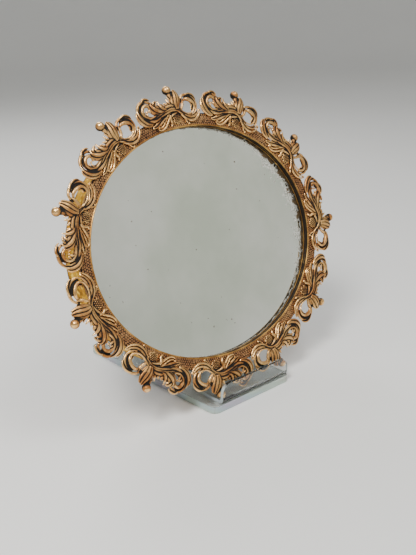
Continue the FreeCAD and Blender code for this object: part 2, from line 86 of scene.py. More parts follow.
def on_oval(along, reach, level):
    """World points from millimetres along the opening, outward from it and forward."""
    along, reach, level = np.broadcast_arrays(along, reach, level)
    turn = np.interp(np.mod(along, PERIMETER), ARCS, turns)
    out_x = np.cos(turn) / HALF_W
    out_y = np.sin(turn) / HALF_H
    length = np.hypot(out_x, out_y)
    x = HALF_W * np.cos(turn) + reach * out_x / length
    y = HALF_H * np.sin(turn) + reach * out_y / length
    return (CENTRE + (x[..., None] * ACROSS + y[..., None] * UP
                      + level[..., None] * OUT) * MM)


# ------------------------------------------------------------ mesh helpers
class Shape:
    """Collects vertices and faces of one piece."""

    def __init__(self):
        self.points = []
        self.faces = []
        self.count = 0

    def add(self, points, faces):
        self.points.append(np.asarray(points, float).reshape(-1, 3))
        self.faces.extend([tuple(i + self.count for i in face) for face in faces])
        self.count += len(self.points[-1])

    def build(self, name):
        mesh = bpy.data.meshes.new(name)
        mesh.from_pydata(np.concatenate(self.points).tolist(), [], self.faces)
        mesh.update()
        piece = bpy.data.objects.new(name, mesh)
        bpy.context.collection.objects.link(piece)
        return piece


def grid_faces(rows, columns, closed_rows, closed_columns):
    faces = []
    for i in range(rows if closed_rows else rows - 1):
        for j in range(columns if closed_columns else columns - 1):
            i2 = (i + 1) % rows
            j2 = (j + 1) % columns
            faces.append((i * columns + j, i * columns + j2,
                          i2 * columns + j2, i2 * columns + j))
    return faces


def capped_faces(rows, columns):
    """Closed skin over rings of points, with the two pole points listed last."""
    faces = grid_faces(rows, columns, False, True)
    first, last = rows * columns, rows * columns + 1
    for j in range(columns):
        j2 = (j + 1) % columns
        faces.append((first, j2, j))
        faces.append((last, (rows - 1) * columns + j, (rows - 1) * columns + j2))
    return faces


def flowing(points, per_span):
    """Catmull-Rom samples through rows of numbers."""
    rows = np.asarray(points, float)
    rows = np.vstack([2 * rows[0] - rows[1], rows, 2 * rows[-1] - rows[-2]])
    result = []
    for i in range(1, len(rows) - 2):
        before, here, after, later = rows[i - 1:i + 3]
        for t in np.arange(per_span) / per_span:
            result.append(0.5 * (2 * here + (after - before) * t
                                 + (2 * before - 5 * here + 4 * after - later) * t * t
                                 + (3 * here - before - 3 * after + later) * t ** 3))
    result.append(rows[-2])
    return np.array(result)


TUBE_SIDES = 8
TUBE_RING = np.arange(TUBE_SIDES) * 2 * np.pi / TUBE_SIDES


def tube(shape, path, radii):
    """Closed tube along world points."""
    path = np.asarray(path)
    ahead = np.gradient(path, axis=0)
    ahead /= np.linalg.norm(ahead, axis=1)[:, None]
    aside = np.cross(ahead, OUT)
    aside /= np.linalg.norm(aside, axis=1)[:, None]
    rise = np.cross(aside, ahead)
    rings = (path[:, None, :] + radii[:, None, None] * MM
             * (np.cos(TUBE_RING)[None, :, None] * aside[:, None, :]
                + np.sin(TUBE_RING)[None, :, None] * rise[:, None, :]))
    points = np.concatenate([rings.reshape(-1, 3), path[:1], path[-1:]])
    shape.add(points, capped_faces(len(path), TUBE_SIDES))


BEAD_RINGS = 11
BEAD_SIDES = 20


def bead(shape, middle, radius, stretch=1.0):
    """Round knob; stretch scales it along the direction that the mirror faces."""
    lat = np.linspace(-np.pi / 2, np.pi / 2, BEAD_RINGS + 2)[1:-1]
    lon = np.arange(BEAD_SIDES) * 2 * np.pi / BEAD_SIDES
    ring = np.stack([np.outer(np.cos(lat), np.cos(lon)), np.outer(np.cos(lat), np.sin(lon)),
                     np.outer(np.sin(lat), np.ones(BEAD_SIDES)) * stretch], -1)
    points = np.concatenate([ring.reshape(-1, 3), [[0, 0, -stretch], [0, 0, stretch]]])
    world = middle + radius * MM * (points[:, :1] * ACROSS + points[:, 1:2] * UP
                                    + points[:, 2:] * OUT)
    shape.add(world, capped_faces(BEAD_RINGS, BEAD_SIDES))


def vertex_rows(mesh, key):
    values = np.empty(len(mesh.vertices) * 3)
    mesh.vertices.foreach_get(key, values)
    return values.reshape(-1, 3)


def write_layer(mesh, name, values):
    layer = mesh.attributes.new(name, "FLOAT", "POINT")
    layer.data.foreach_set("value", np.asarray(values, np.float32).ravel())


def ranked(values):
    """Spreads values evenly from -1, the deepest, to 1, the highest."""
    order = np.argsort(np.argsort(values, kind="stable"), kind="stable")
    return 2.0 * order / (len(values) - 1) - 1.0


BEND_LIMIT = 1.4
BEND_PERCENTILE = 80


def cavity_of(mesh, fine=3, coarse=26):
    """Rank of every vertex from hollow to ridge, after fine and coarse smoothing."""
    points = vertex_rows(mesh, "co")
    normals = vertex_rows(mesh, "normal")
    count = len(points)
    pairs = np.empty(len(mesh.edges) * 2, np.int32)
    mesh.edges.foreach_get("vertices", pairs)
    first, second = pairs.reshape(-1, 2).T
    here = np.concatenate([first, second])
    there = np.concatenate([second, first])
    degree = np.maximum(np.bincount(here, minlength=count), 1)

    def around(values):
        if values.ndim == 1:
            return np.bincount(here, values[there], count) / degree
        return np.stack([around(column) for column in values.T], 1)

    smooth = points
    total = np.zeros(count)
    for step in range(1, coarse + 1):
        smooth = around(smooth)
        if step in (fine, coarse):
            bend = around(np.einsum("ij,ij->i", points - smooth, normals))
            bend = bend / (np.percentile(np.abs(bend), BEND_PERCENTILE) + 1e-12)
            total += np.clip(bend, -BEND_LIMIT, BEND_LIMIT) / 2
    return ranked(total)


# ------------------------------------------------------------ one scroll unit
# Each ribbon: strands, how far its side strands stop short, then rows of
# along, outward, forward, half width and the turn of its width out of the plane.
RIBBONS = [
    (2, 0.0, [(-21.4, 19.6, 1.4, 0.8, 0), (-19.4, 22.2, 1.2, 1.6, 10),
              (-20.2, 25.8, 0.8, 2.3, 20), (-23.6, 27.6, 0.4, 2.6, 24),
              (-27.4, 26.0, 0.4, 2.6, 24), (-29.4, 21.8, 0.8, 2.3, 22),
              (-28.6, 17.2, 1.2, 1.9, 20), (-24.8, 13.8, 1.7, 1.7, 14),
              (-19.6, 13.2, 2.0, 1.8, 6), (-13.6, 14.6, 2.3, 2.2, 0),
              (-7.0, 16.6, 2.6, 2.6, 0), (-1.6, 17.2, 2.8, 2.4, 0),
              (3.6, 15.6, 2.7, 1.8, 0), (7.6, 12.4, 2.4, 1.4, 0),
              (11.6, 10.3, 2.1, 1.2, 10), (16.4, 10.0, 1.9, 1.3, 16),
              (20.6, 12.0, 1.7, 1.7, 20), (22.6, 16.4, 1.4, 2.1, 24),
              (21.6, 20.8, 1.2, 2.6, 26), (17.8, 24.2, 1.0, 3.0, 26),
              (13.6, 24.8, 1.0, 2.6, 22), (10.8, 22.6, 1.2, 1.7, 10),
              (10.2, 19.8, 1.3, 0.8, 0)]),
    (1, 0.0, [(-22.6, 26.2, -1.0, 1.5, 0), (-27.0, 24.6, -0.8, 1.6, 0),
              (-27.6, 18.6, -0.2, 1.5, 0), (-20.6, 13.6, 0.6, 1.6, 0),
              (-13.6, 14.8, 1.0, 1.9, 0), (-7.0, 16.0, 1.0, 2.1, 0),
              (-1.6, 16.6, 1.2, 2.1, 0), (3.6, 15.4, 1.2, 1.8, 0),
              (7.6, 12.6, 1.0, 1.4, 0)]),
    (1, 0.0, [(14.6, 24.2, -0.6, 1.6, 0), (19.6, 22.4, -0.6, 1.7, 0),
              (21.8, 17.4, -0.4, 1.3, 0), (20.0, 12.8, -0.2, 0.9, 0)]),
    (1, 0.0, [(-12.0, 13.0, 1.6, 1.0, 0), (-18.0, 11.4, 1.6, 1.2, 0),
              (-24.0, 12.0, 1.4, 1.2, 0), (-28.8, 14.6, 1.2, 0.6, 0)]),
    (2, 0.1, [(18.6, 22.0, 1.6, 1.1, 0), (20.4, 18.4, 1.4, 1.3, 0),
              (19.2, 15.4, 1.2, 0.8, 0), (17.4, 14.6, 1.0, 0.4, 0)]),
    (2, 0.1, [(15.4, 26.4, 0.8, 1.2, 0), (19.4, 26.4, 0.6, 1.5, 10),
              (22.6, 24.2, 0.4, 1.3, 10), (24.6, 20.4, 0.3, 0.6, 0)]),
    (2, 0.1, [(-23.2, 12.9, 1.6, 1.4, 0), (-26.2, 16.0, 1.5, 1.8, 0),
              (-25.4, 19.4, 1.3, 1.4, 0), (-23.8, 20.8, 1.1, 0.6, 0)]),
    (3, 0.15, [(-9.4, 15.8, 2.2, 1.7, 0), (-14.0, 17.4, 2.0, 2.9, 0),
               (-17.4, 20.2, 1.7, 3.2, 0), (-19.0, 24.0, 1.2, 2.5, 0),
               (-17.6, 27.0, 0.8, 1.5, 0)]),
    (2, 0.1, [(-16.6, 20.0, 2.2, 1.4, 0), (-16.2, 23.4, 2.0, 1.7, 0),
              (-14.2, 25.2, 1.6, 1.2, 0), (-12.8, 24.4, 1.4, 0.6, 0)]),
    (3, 0.2, [(-6.4, 16.8, 2.2, 1.6, 0), (-10.0, 18.4, 2.0, 2.8, 0),
              (-11.6, 21.6, 1.5, 2.6, 0), (-11.6, 26.4, 0.6, 1.1, 0)]),
    (2, 0.15, [(-2.8, 17.8, 2.2, 1.4, 0), (-6.0, 19.6, 2.0, 2.2, 0),
               (-7.4, 21.8, 1.5, 1.5, 0), (-7.8, 23.8, 0.8, 0.8, 0)]),
    (2, 0.15, [(-24.4, 28.8, 0.2, 1.3, 10), (-21.8, 29.8, -0.2, 1.6, 10),
               (-18.8, 28.6, -0.4, 1.4, 10), (-17.2, 26.0, -0.2, 0.7, 0)]),
    (2, 0.0, [(3.0, 13.6, 2.0, 1.0, 0), (-2.0, 12.8, 2.1, 1.7, 0),
              (-6.4, 10.4, 1.9, 1.8, 0), (-9.6, 7.0, 1.6, 1.7, 0),
              (-12.8, 4.2, 1.3, 1.6, 0), (-16.6, 3.2, 1.1, 1.3, 0),
              (-19.2, 4.8, 1.0, 0.7, 0)]),
    (2, 0.1, [(-8.0, 12.2, 1.8, 1.2, 0), (-13.6, 9.8, 1.6, 1.6, 0),
              (-18.6, 7.4, 1.4, 1.5, 0), (-22.6, 6.4, 1.1, 0.9, 0),
              (-25.4, 7.4, 0.9, 0.5, 0)]),
    (1, 0.0, [(-4.4, 11.6, 1.9, 1.0, 0), (-5.0, 8.2, 1.6, 1.2, 0),
              (-4.2, 5.2, 1.2, 1.0, 0), (-5.4, 3.0, 0.9, 0.7, 0)]),
    (1, 0.0, [(-14.0, 12.8, -0.6, 1.0, 0), (-6.0, 13.0, -0.6, 1.9, 0),
              (1.6, 12.9, -0.6, 2.0, 0), (9.0, 11.2, -0.6, 1.2, 0)]),
    (2, 0.1, [(9.4, 10.8, 1.8, 1.1, 0), (11.4, 7.6, 1.6, 1.4, 0),
              (12.6, 4.6, 1.3, 1.2, 0), (14.2, 2.2, 0.9, 0.6, 0)]),
    (2, 0.1, [(7.4, 11.6, 2.0, 1.0, 0), (11.4, 8.0, 1.9, 1.5, 0),
              (15.6, 6.4, 1.7, 1.8, 0), (20.0, 6.8, 1.6, 1.8, 0),
              (23.8, 9.4, 1.5, 1.5, 0), (26.2, 13.2, 1.4, 0.8, 0),
              (26.8, 16.4, 1.2, 0.4, 0)]),
    (3, 0.2, [(-23.4, 9.8, 1.4, 1.0, 0), (-27.6, 11.2, 1.6, 1.9, 0),
              (-31.0, 14.8, 1.6, 2.5, 10), (-32.4, 19.2, 1.2, 2.4, 14),
              (-32.0, 23.2, 0.8, 1.7, 14), (-30.4, 26.6, 0.2, 0.8, 0)]),
    (4, 0.14, [(3.2, 15.8, 2.6, 2.1, 0), (3.2, 20.6, 2.4, 3.5, 0),
               (4.2, 25.4, 1.7, 3.7, 0), (5.0, 29.4, 0.8, 2.9, 0),
               (5.2, 32.8, -0.2, 1.5, 0)]),
    (2, 0.1, [(6.0, 14.8, 2.4, 1.5, 0), (8.2, 18.6, 2.0, 2.2, 0),
              (9.4, 22.6, 1.4, 1.8, 0), (9.6, 26.0, 0.6, 0.9, 0)]),
    (2, 0.15, [(1.6, 18.4, 2.6, 1.3, 0), (-1.0, 21.4, 2.2, 1.9, 0),
               (-2.2, 24.6, 1.6, 1.6, 0), (-3.8, 27.6, 0.9, 0.8, 0)]),
    (1, 0.0, [(1.4, 18.6, 2.0, 1.6, 0), (0.6, 24.0, 1.4, 1.5, 0),
              (0.0, 29.6, 0.4, 1.6, 0)]),
]
# Small knobs where sprigs end: along, outward, forward, radius.
KNOBS = [(-18.4, 5.2, 1.2, 1.3), (13.9, 2.5, 0.9, 1.1), (-21.2, 20.2, 1.4, 1.4),
         (10.6, 19.8, 1.4, 1.3), (-5.0, 3.3, 0.9, 1.0), (-23.6, 20.4, 1.2, 1.0),
         (25.6, 13.4, 1.4, 0.9)]
# The pebbled mound under the hump: along, outward, forward, radius, flatness.
MOUND = (2.4, 7.6, -0.2, 4.9, 0.38)
PEBBLE = 0.74
PEBBLE_GAP = 1.5
PEBBLE_ROW = 0.87           # row spacing of the pebbles, as a share of their gap
PEBBLE_EDGE = 0.9           # how far out on the mound they go
PEBBLE_RISE = 0.1
# The collar under the ball: along, outward from the ball, forward, radius.
COLLAR = (0.3, -3.6, 0.5, 1.9)
BALL_SKIN = 0.05            # how far the ball stays inside the CAD ball
VOXEL = 0.36

SAMPLES = 6                 # samples between two rows of a ribbon
BULK = 1.12                 # ribbon width against the table
THINNEST = 0.3
CROWN = 0.30                # rise of the middle strand, in half widths
SPREAD = 0.68               # reach of the side strands, in half widths
STRAND_LEAST = 0.22         # strand radius, in half widths, before its share
STRAND_SHARE = 0.62
STRAND_STEP = 0.14          # each strand is this much fuller than the one before
FRAY_CURVE = 1.3
FRAY_TIP = 0.34             # radius at the end of a frayed strand
FRAY_BODY = 0.42
FRAY_TAPER = 2.2
BACK_SHADE = 0.10           # painted shade: ridge gained for each millimetre forward, so parts lying further back are coloured darker


def add_ribbon(shape, home, strands, fray, rows):
    """Fluted ribbon: side-by-side strands that meet or fray at its end."""
    samples = flowing(rows, SAMPLES)
    along, reach, level, half, twist = samples.T
    half = np.maximum(half * BULK, THINNEST)
    twist = np.radians(twist)
    step_a, step_r = np.gradient(along), np.gradient(reach)
    length = np.hypot(step_a, step_r)
    side_a, side_r = -step_r / length, step_a / length
    for strand in range(strands):
        place = 0.0 if strands == 1 else (2.0 * strand / (strands - 1) - 1.0)
        keep = int(round(len(samples) * (1.0 - fray * abs(place) ** FRAY_CURVE)))
        if fray:
            left = np.minimum(1.0, np.linspace(1.0, 0.0, keep) * FRAY_TAPER)
            radii = FRAY_TIP + FRAY_BODY * half[:keep] * np.sqrt(left)
        elif strands == 1:
            radii = half
        else:
            radii = half * (STRAND_LEAST + STRAND_SHARE / strands)
            radii = radii * (1.0 + STRAND_STEP * (strand - 1))
        shift = half * place * SPREAD
        flat = shift * np.cos(twist)
        lift = level + shift * np.sin(twist) + CROWN * half * (1.0 - place * place)
        path = on_oval(home + along + side_a * flat, reach + side_r * flat, lift)
        tube(shape, path[:keep], radii[:keep])


def settled(piece):
    """Apply the piece's modifiers and measure its ridges."""
    graph = bpy.context.evaluated_depsgraph_get()
    mesh = bpy.data.meshes.new_from_object(piece.evaluated_get(graph))
    piece.modifiers.clear()
    old = piece.data
    piece.data = mesh
    bpy.data.meshes.remove(old)
    mesh.shade_smooth()
    forward = vertex_rows(mesh, "co") @ OUT / MM
    # The ridge layer colours hollows dark, partly as dark wax and partly as painted shade, and
    # through BACK_SHADE paints shade on parts lying further back.
    write_layer(mesh, "ridge", ranked(cavity_of(mesh) + BACK_SHADE * forward))


# Painted highlight and painted shade on each ball: its outer front coloured bright, its side
# towards the stem dark.
BALL_LIT_OUTWARD = 0.70
BALL_LIT_FORWARD = 0.71
BALL_LIT_REACH = 1.08            # ball radii from its centre that the painted highlight and shade take in
BALL_LIT_GAIN = 1.25
BALL_LIT_OFFSET = -0.30
BALL_LIT_KEEP = 0.15             # share of the measured ridge that stays


def paint_ball_light_and_shade(piece, home):
    """Paint a highlight on the ball's outer front and shade towards its stem."""
    middle = on_oval(home, BALL_REACH, 0.0)
    outward = (on_oval(home, BALL_REACH + 1.0, 0.0) - middle) / MM
    layer = piece.data.attributes["ridge"].data
    ridge = np.empty(len(layer), np.float32)
    layer.foreach_get("value", ridge)
    away = (vertex_rows(piece.data, "co") - middle) / (BALL_RADIUS * MM)
    side = away @ (BALL_LIT_OUTWARD * outward + BALL_LIT_FORWARD * OUT)
    near = np.linalg.norm(away, axis=1) < BALL_LIT_REACH
    ridge[near] = np.clip(BALL_LIT_GAIN * side[near] + BALL_LIT_OFFSET + BALL_LIT_KEEP * ridge[near], -1.0, 1.0)
    layer.foreach_set("value", ridge)


def pebbled_mound(shape, home):
    """Flat mound studded with pebbles in staggered rows."""
    along, reach, level, radius, flat = MOUND
    bead(shape, on_oval(home + along, reach, level), radius, flat)
    most = math.ceil(radius / PEBBLE_GAP)
    for row in range(-most, most + 1):
        for column in range(-most, most + 1):
            over = PEBBLE_GAP * (column + 0.5 * (row % 2))
            up = PEBBLE_ROW * PEBBLE_GAP * row
            share = math.hypot(over, up) / radius
            if share < PEBBLE_EDGE:
                rise = level + radius * flat * math.sqrt(1.0 - share * share) + PEBBLE_RISE
                bead(shape, on_oval(home + along + over, reach + up, rise), PEBBLE)


def scroll_unit(number):
    home = number * PITCH - UNIT_PHASE
    shape = Shape()
    for strands, fray, rows in RIBBONS:
        add_ribbon(shape, home, strands, fray, rows)
    for along, reach, level, radius in KNOBS:
        bead(shape, on_oval(home + along, reach, level), radius)
    pebbled_mound(shape, home)
    bead(shape, on_oval(home, BALL_REACH, 0.0), BALL_RADIUS - BALL_SKIN)
    along, reach, level, radius = COLLAR
    bead(shape, on_oval(home + along, BALL_REACH + reach, level), radius)
    piece = shape.build("scroll_ornament_%02d" % (number + 1))
    merge = piece.modifiers.new("merge", "REMESH")
    merge.mode = "VOXEL"
    merge.voxel_size = VOXEL * MM
    soften = piece.modifiers.new("soften", "SMOOTH")
    soften.factor = 0.5
    soften.iterations = 1
    settled(piece)
    # Painted highlight on the ball's outer front and painted shade towards its stem.
    paint_ball_light_and_shade(piece, home)
    return piece


# ------------------------------------------------------------ materials
class Paint:
    """Small helper round one material's nodes."""

    def __init__(self, name):
        self.material = bpy.data.materials.new(name)
        self.material.use_nodes = True
        self.tree = self.material.node_tree
        self.shader = self.tree.nodes["Principled BSDF"]
        self.place = self.tree.nodes.new("ShaderNodeTexCoord").outputs["Object"]

    def link(self, source, target):
        self.tree.links.new(source, target)

    def feed(self, node, socket, value):
        target = node.inputs[socket]
        if isinstance(value, bpy.types.NodeSocket):
            self.link(value, target)
        else:
            target.default_value = value

    def stretched(self, stretch):
        if stretch is None:
            return self.place
        node = self.tree.nodes.new("ShaderNodeMapping")
        node.inputs["Scale"].default_value = stretch
        self.link(self.place, node.inputs["Vector"])
        return node.outputs["Vector"]

    def noise(self, scale, detail=3.0, rough=0.55, stretch=None):
        """Noise, scale in waves to the metre; its values gather round 0.5."""
        node = self.tree.nodes.new("ShaderNodeTexNoise")
        node.inputs["Scale"].default_value = scale
        node.inputs["Detail"].default_value = detail
        node.inputs["Roughness"].default_value = rough
        self.link(self.stretched(stretch), node.inputs["Vector"])
        return node.outputs["Fac"]

    def ramp(self, value, stops):
        node = self.tree.nodes.new("ShaderNodeValToRGB")
        marks = node.color_ramp.elements
        while len(marks) < len(stops):
            marks.new(0.5)
        for mark, (position, colour) in zip(marks, stops):
            mark.position = position
            shade = colour if isinstance(colour, tuple) else (colour,) * 3
            mark.color = (*shade, 1.0)
        self.link(value, node.inputs["Fac"])
        return node.outputs["Color"]

    def combine(self, operation, first, second, clamp=False):
        node = self.tree.nodes.new("ShaderNodeMath")
        node.operation = operation
        node.use_clamp = clamp
        self.feed(node, 0, first)
        self.feed(node, 1, second)
        return node.outputs[0]

    def scaled(self, value, factor, offset=0.0):
        node = self.tree.nodes.new("ShaderNodeMath")
        node.operation = "MULTIPLY_ADD"
        self.link(value, node.inputs[0])
        node.inputs[1].default_value = factor
        node.inputs[2].default_value = offset
        return node.outputs[0]

    def blend(self, share, first, second, kind="MIX"):
        node = self.tree.nodes.new("ShaderNodeMix")
        node.data_type = "RGBA"
        node.blend_type = kind
        self.feed(node, "Factor", share)
        for socket, value in ((6, first), (7, second)):
            if isinstance(value, tuple):
                value = (*value, 1.0)
            self.feed(node, socket, value)
        return node.outputs[2]

    def attribute(self, name):
        node = self.tree.nodes.new("ShaderNodeAttribute")
        node.attribute_name = name
        return node.outputs["Fac"]

    def bump(self, height, depth):
        """Relief, depth in metres, on top of any bump that is there already."""
        node = self.tree.nodes.new("ShaderNodeBump")
        node.inputs["Strength"].default_value = 1.0
        node.inputs["Distance"].default_value = depth
        self.link(height, node.inputs["Height"])
        before = self.shader.inputs["Normal"].links
        if before:
            self.link(before[0].from_socket, node.inputs["Normal"])
        self.link(node.outputs["Normal"], self.shader.inputs["Normal"])

    def set(self, **sockets):
        for key, value in sockets.items():
            self.feed(self.shader, key.replace("_", " "), value)


def srgb(red, green, blue):
    """Linear colour from 0 to 255 display values."""
    result = []
    for level in (red, green, blue):
        share = level / 255.0
        if share <= 0.04045:
            result.append(share / 12.92)
        else:
            result.append(((share + 0.055) / 1.055) ** 2.4)
    return tuple(result)


def gilt(name, bright, warm, dark, grime_and_shade, rough, fine_depth):
    """Old gilding: bright rubbed ridges with a painted highlight, warm flats, and dark wax with
    painted shade in the hollows.
    """
    paint = Paint(name)
    patches = paint.noise(scale=70.0, detail=4.0, rough=0.6)
    fine = paint.noise(scale=900.0, detail=3.0, rough=0.6)
    # Wear and painted shade: the ridge layer with random patches; low values are hollows and
    # parts lying back.
    wear_and_shade = paint.scaled(paint.attribute("ridge"), factor=0.5, offset=0.5)
    wear_and_shade = paint.combine("ADD", wear_and_shade, paint.scaled(patches, factor=0.40, offset=-0.20))
    wear_and_shade = paint.combine("ADD", wear_and_shade, paint.scaled(fine, factor=0.30, offset=-0.15), clamp=True)
    flats = paint.blend(paint.ramp(patches, [(0.40, 0.0), (0.60, 1.0)]), warm, bright)
    # Dark colour in the low places: dark wax, and painted shade.
    colour = paint.ramp(wear_and_shade, [(grime_and_shade - 0.12, 0.0), (grime_and_shade + 0.16, 1.0)])
    colour = paint.blend(colour, dark, flats)
    # Lighter colour on the highest ridges: rubbed wear, and a painted highlight.
    rub_and_highlight = paint.ramp(wear_and_shade, [(0.74, 0.0), (0.96, 1.0)])
    lighter = tuple(min(1.0, level * 1.45 + 0.06) for level in bright)
    colour = paint.blend(rub_and_highlight, colour, lighter)
    paint.set(Base_Color=colour)
    paint.set(Metallic=paint.ramp(wear_and_shade, [(grime_and_shade - 0.1, 0.0), (grime_and_shade + 0.2, 0.92)]))
    paint.set(Roughness=paint.ramp(wear_and_shade, [(grime_and_shade - 0.1, 0.8), (0.9, rough)]))
    paint.set(Specular_IOR_Level=0.3)
    paint.bump(fine, fine_depth)
    return paint.material


# Each gilt's dark colour stands for dark wax and painted shade in the hollows; its rubbed ridges
# carry a painted highlight.
gilt_scroll = gilt("gilt_scroll", bright=srgb(214, 168, 104), warm=srgb(182, 122, 66),
                   dark=srgb(18, 13, 8), grime_and_shade=0.47, rough=0.25, fine_depth=0.00012)
gilt_band = gilt("gilt_band", bright=srgb(196, 148, 96), warm=srgb(172, 116, 72),
                 dark=srgb(20, 14, 8), grime_and_shade=0.56, rough=0.34, fine_depth=0.00012)
gilt_lip = gilt("gilt_lip", bright=srgb(214, 168, 92), warm=srgb(158, 110, 54),
                dark=srgb(26, 18, 9), grime_and_shade=0.46, rough=0.28, fine_depth=0.00008)
gilt_drum = gilt("gilt_drum", bright=srgb(228, 178, 50), warm=srgb(198, 140, 32),
                 dark=srgb(84, 54, 12), grime_and_shade=0.26, rough=0.50, fine_depth=0.0004)


def dress(piece, material, body, node):
    piece.data.materials.clear()
    piece.data.materials.append(material)
    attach(piece, body)
    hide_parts(node)


for number in range(UNIT_COUNT):
    dress(scroll_unit(number), gilt_scroll, "mirror",
          "scroll_unit_%02d" % (number + 1))


# ------------------------------------------------------------ punched band
def all_round(row, count):
    """The same row of numbers at every station."""
    return np.repeat(np.asarray(row, float)[None, :], count, 0)


def stations_at(count):
    return np.arange(count) * PERIMETER / count


def swept_profile(name, stations, profile_at):
    """Closed ring: profile_at(arcs) gives rows of outward reach and level."""
    shape = Shape()
    arcs = stations_at(stations)
    reach, level = profile_at(arcs)
    points = on_oval(arcs[:, None] + np.zeros_like(reach), reach, level)
    shape.add(points, grid_faces(stations, reach.shape[1], True, True))
    piece = shape.build(name)
    piece.data.shade_smooth()
    return piece


ROE_GAP = 2.2
ROE_ROWS = 5
ROE_ROW_GAP = ROE_GAP * 0.86
ROE_FIRST = 1.9             # reach of the innermost row
ROE_RADIUS = 1.12
PIT_RADIUS = 0.36
ROE_RISE = 0.62
PIT_DEPTH = 0.34
GROUND_DEPTH = 0.30
rng = np.random.default_rng(11)
roe_count = int(round(PERIMETER / ROE_GAP))
roe_shift = rng.normal(0.0, 0.10, (ROE_ROWS, roe_count, 2))
roe_size = 1.0 + rng.normal(0.0, 0.08, (ROE_ROWS, roe_count))


def roe_height(along, reach):
    """Height of the fish-roe punching at a place on the band."""
    best = np.full(np.broadcast(along, reach).shape, 9.0)
    pitch = PERIMETER / roe_count
    for row in range(ROE_ROWS):
        offset = 0.5 * (row % 2)
        nearest = np.round(along / pitch - offset).astype(int)
        for step in (-1, 0, 1):
            index = np.mod(nearest + step, roe_count)
            centre_a = (nearest + step + offset) * pitch + roe_shift[row, index, 0]
            centre_r = ROE_FIRST + row * ROE_ROW_GAP + roe_shift[row, index, 1]
            gap = np.hypot(along - centre_a, reach - centre_r) / roe_size[row, index]
            best = np.minimum(best, gap)
    dome = np.sqrt(np.clip(1.0 - (best / ROE_RADIUS) ** 2, 0.0, 1.0))
    pit = np.exp(-(best / PIT_RADIUS) ** 2)
    return ROE_RISE * dome - PIT_DEPTH * pit - GROUND_DEPTH


BAND_STATIONS = 2200
BAND_SAMPLES = 32
BAND_FRONT = slice(2, 2 + BAND_SAMPLES)
BAND_SIDE_TONE = 0.1


def band_profile(arcs):
    top = np.linspace(LIP_WALL + 0.1, BAND_WIDTH - 0.25, BAND_SAMPLES)
    reach = all_round(np.concatenate([[LIP_WALL, LIP_WALL], top,
                                      [BAND_WIDTH, BAND_WIDTH, BAND_WIDTH - 0.4]]), len(arcs))
    level = all_round(np.concatenate([[-BAND_THICK, -0.3], np.zeros(BAND_SAMPLES),
                                      [-0.5, -BAND_THICK + 0.4, -BAND_THICK]]), len(arcs))
    level[:, BAND_FRONT] = roe_height(arcs[:, None], reach[:, BAND_FRONT])
    return reach, level


band = swept_profile("punched_band", BAND_STATIONS, band_profile)
band_level = band_profile(stations_at(BAND_STATIONS))[1]
# Band tone from the punched height: the low ground and pits take dark wax and painted shade, the
# sides a fixed middle tone.
band_tone = np.full(band_level.shape, BAND_SIDE_TONE)
band_tone[:, BAND_FRONT] = ranked(band_level[:, BAND_FRONT].ravel()).reshape(-1, BAND_SAMPLES)
write_layer(band.data, "ridge", band_tone)
dress(band, gilt_band, "mirror", "matted_band")

# ------------------------------------------------------------ sight-edge lip
# The lip's section, reach and level: up its outer wall, over the nose and down inside.
LIP_ROWS = [(1.2, -5.5), (1.2, 0.0), (1.12, 0.36), (0.86, 0.56), (0.6, 0.6), (0.34, 0.56),
            (0.1, 0.34), (0.02, 0.0), (0.1, -0.5), (0.3, -0.8), (0.3, -2.0), (0.0, -2.3),
            (0.0, -2.8), (0.22, -3.1), (0.22, -4.6), (0.0, -4.9), (0.0, -5.5)]
LIP_FRONT = slice(2, 7)
LIP_WAVE = 0.03
LIP_STATIONS = 900


def lip_profile(arcs):
    reach, level = np.array(LIP_ROWS).T
    reach = all_round(reach, len(arcs))
    level = all_round(level, len(arcs))
    wave = np.sin(arcs * 0.21) + np.sin(arcs * 0.57 + 1.0)
    level[:, LIP_FRONT] += LIP_WAVE * wave[:, None]
    return reach, level


lip = swept_profile("sight_lip", LIP_STATIONS, lip_profile)
# The lip's grooves are coloured dark: dark wax and painted shade.
write_layer(lip.data, "ridge", cavity_of(lip.data, fine=2, coarse=5))
dress(lip, gilt_lip, "mirror", "inner_lip")

# ------------------------------------------------------------ drum behind the band
DRUM_STATIONS = 560
DRUM_SAMPLES = 34
DRUM_SKIN = 0.2             # how far the drum's even surface stays inside the CAD drum
CREASE_SHIFT = Vector((9, 4, 2))


def drum_profile(arcs):
    """Beaten wall: soft dents and creases outside, plain inside."""
    inside = DRUM_REACH - DRUM_WALL
    reach = all_round(np.concatenate([np.full(DRUM_SAMPLES, DRUM_REACH - DRUM_SKIN),
                                      [DRUM_REACH - 0.3, inside + 0.3, inside, inside]]),
                      len(arcs))
    level = all_round(np.concatenate([np.linspace(-BAND_THICK, -DRUM_DEPTH + 0.8, DRUM_SAMPLES),
                                      [-DRUM_DEPTH, -DRUM_DEPTH, -DRUM_DEPTH + 0.5,
                                       -BAND_THICK]]), len(arcs))
    points = on_oval(arcs[:, None], reach[:, :DRUM_SAMPLES], level[:, :DRUM_SAMPLES]) / MM
    for i in range(len(arcs)):
        for j in range(DRUM_SAMPLES):
            spot = Vector(points[i, j])
            dents = noise.noise(spot * 0.16) * 0.30 + noise.noise(spot * 0.5) * 0.22
            creases = abs(noise.noise(spot * 0.27 + CREASE_SHIFT)) * 0.35
            reach[i, j] += min(DRUM_SKIN, dents - creases)
    return reach, level


drum = swept_profile("gilt_drum_side", DRUM_STATIONS, drum_profile)
# The drum is coloured darker in its creases and dents, as painted shade.
write_layer(drum.data, "ridge", cavity_of(drum.data, fine=2, coarse=8))
dress(drum, gilt_drum, "mirror", "drum_wall")

